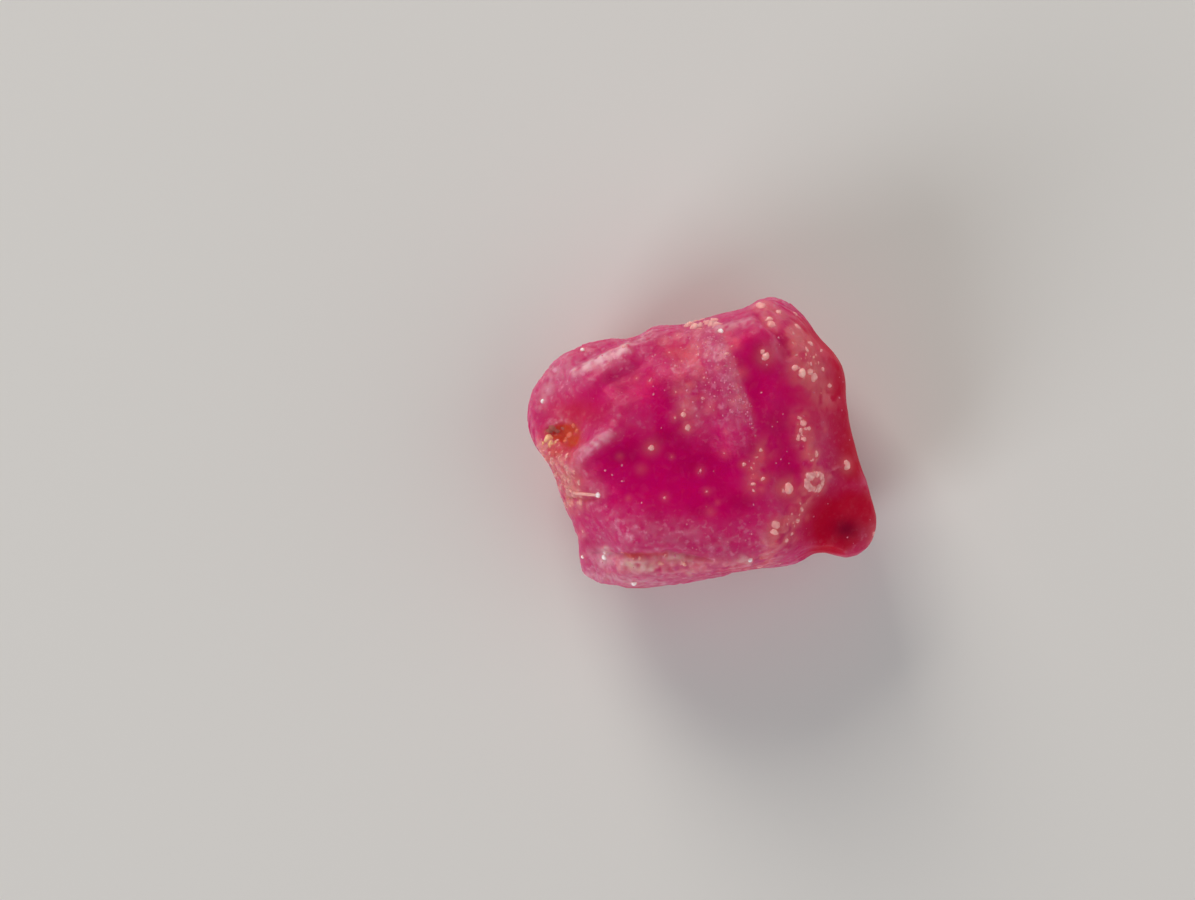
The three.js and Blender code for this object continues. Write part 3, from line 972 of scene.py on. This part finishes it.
# %% Scatter the crumbs
CRUMBS = 130
CRUMB_RADII = (0.05, 0.12)  # mm
CRUMB_SUNK = 0.78  # share of its radius
NOTCH_PLACES = [
    (-0.3, 2.88), (-0.16, 2.95), (0.0, 2.9), (0.12, 2.96), (0.22, 2.86), (-0.08, 2.8), (0.3, 2.92),
]
NOTCH_CRUMBS_EACH = 2
NOTCH_CRUMB_RADII = (0.11, 0.2)
NOTCH_SCATTER = 0.05  # mm round each place
NOTCH_CRUMB_SUNK = 0.65
crumbs = []
likely = clamp(peach) ** 1.5 * clamp(1 - chalk_and_glints)
for index in lump_chance.choice(len(shaped), CRUMBS, p=likely / likely.sum()):
    radius = lump_chance.uniform(*CRUMB_RADII)
    crumbs.append((shaped[index] - normals[index] * radius * CRUMB_SUNK, normals[index], radius))
crumb_material = make_grain_material("iron_tinted_calcite", "#DC6C74", "#E49488", "#F4D0BC", 0.06, 0.6, 0.1)
edge_crumbs = make_lumps("edge_crumbs", crumbs, 2, 0.4)
edge_crumbs.data.materials.append(crumb_material)

matrix = []
for x, y in NOTCH_PLACES:
    for _ in range(NOTCH_CRUMBS_EACH):
        radius = lump_chance.uniform(*NOTCH_CRUMB_RADII)
        aside = lump_chance.normal(0, NOTCH_SCATTER)
        beyond = lump_chance.normal(0, NOTCH_SCATTER)
        place, outward = skin_below(x + aside, y + beyond)
        matrix.append((place - outward * radius * NOTCH_CRUMB_SUNK, outward, radius))
marble = make_grain_material("marble_crumb", "#D87888", "#E0A098", "#ECCCC0", 0.12, 0.6, 0.12)
notch_matrix = make_lumps("notch_matrix", matrix, 3, 0.4)
notch_matrix.data.materials.append(marble)

# %% [markdown]
# ## The stained pit
# A sulphide grain rusted away here. It left a hollow lined with brown and orange iron oxide, and a
# few lumps of yellow ochre.

# %% Fill the pit
PIT_LUMPS = {  # x, y and core radius, mm
    "pit_rust": ((-3.60, 0.33, 0.13), (-3.48, 0.27, 0.10), (-3.70, 0.26, 0.08), (-3.38, 0.34, 0.08)),
    "pit_orange": ((-3.25, 0.18, 0.12), (-3.12, 0.40, 0.07), (-3.32, 0.05, 0.08), (-3.05, 0.28, 0.06)),
    "pit_ochre": ((-3.76, 0.07, 0.11), (-3.66, -0.02, 0.09), (-3.86, 0.00, 0.07), (-3.56, 0.02, 0.06)),
}
PIT_COLOURS = {  # buried, body and tip
    "pit_rust": ("#A82C20", "#7C2414", "#984020"),
    "pit_orange": ("#C43C24", "#C84824", "#DC6C38"),
    "pit_ochre": ("#D06848", "#DCA070", "#F0D8A4"),
}
PIT_SUNK = 0.72  # share of a lump's radius
for name, listed in PIT_LUMPS.items():
    lining = make_lumps(name, settle(listed, PIT_SUNK), 3, 0.3)
    lining.data.materials.append(make_grain_material(name + "_oxide", *PIT_COLOURS[name], 0.05, 0.75, 0.05))

# %% [markdown]
# ## The needle
# One pale needle of boehmite lies on the skin at the left bay. It is a tube that follows the skin:
# rings of eight points, closed by a flat cap at each end.

# %% Make the needle
NEEDLE_START, NEEDLE_END = (-3.12, -1.22), (-2.55, -1.27)
NEEDLE_RINGS, NEEDLE_SIDES, NEEDLE_RADIUS = 14, 8, 0.045


def make_needle():
    shares = np.linspace(0, 1, NEEDLE_RINGS)
    route = [skin_below(*(np.array(NEEDLE_START) * (1 - t) + np.array(NEEDLE_END) * t))[0] for t in shares]
    way = Vector(route[-1] - route[0]).normalized()
    side = way.cross(Vector((0, 0, 1))).normalized()
    upward = side.cross(way)
    corners = []
    for place, t in zip(route, shares):
        radius = NEEDLE_RADIUS * (0.25 + 0.75 * np.sin(np.pi * (0.12 + 0.76 * t)) ** 0.7)
        for turn in np.arange(NEEDLE_SIDES) * 2 * np.pi / NEEDLE_SIDES:
            ring = side * np.cos(turn) + upward * np.sin(turn)
            corners.append(Vector(place) + ring * radius)
    faces = []
    for ring in range(NEEDLE_RINGS - 1):
        for a in range(NEEDLE_SIDES):
            b = (a + 1) % NEEDLE_SIDES
            low_ring, high_ring = ring * NEEDLE_SIDES, (ring + 1) * NEEDLE_SIDES
            faces.append((low_ring + a, low_ring + b, high_ring + b, high_ring + a))
    last = (NEEDLE_RINGS - 1) * NEEDLE_SIDES
    faces.append(tuple(range(NEEDLE_SIDES))[::-1])
    faces.append(tuple(last + a for a in range(NEEDLE_SIDES)))
    mesh = bpy.data.meshes.new("needle")
    mesh.from_pydata([corner * MM for corner in corners], [], faces)
    mesh.shade_smooth()
    layer = mesh.attributes.new("exposed", "FLOAT", "POINT")
    layer.data.foreach_set("value", np.full(len(corners), 0.05, dtype=np.float32))
    needle = bpy.data.objects.new("needle", mesh)
    bpy.context.scene.collection.objects.link(needle)
    needle.data.materials.append(
        make_grain_material("boehmite_needle", "#CC6070", "#D88080", "#E8B0A4", 0.05, 0.35, 0.1))
    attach(needle, "root")
    print("needle, mm long:", round(float(np.linalg.norm(route[-1] - route[0])), 2))


make_needle()
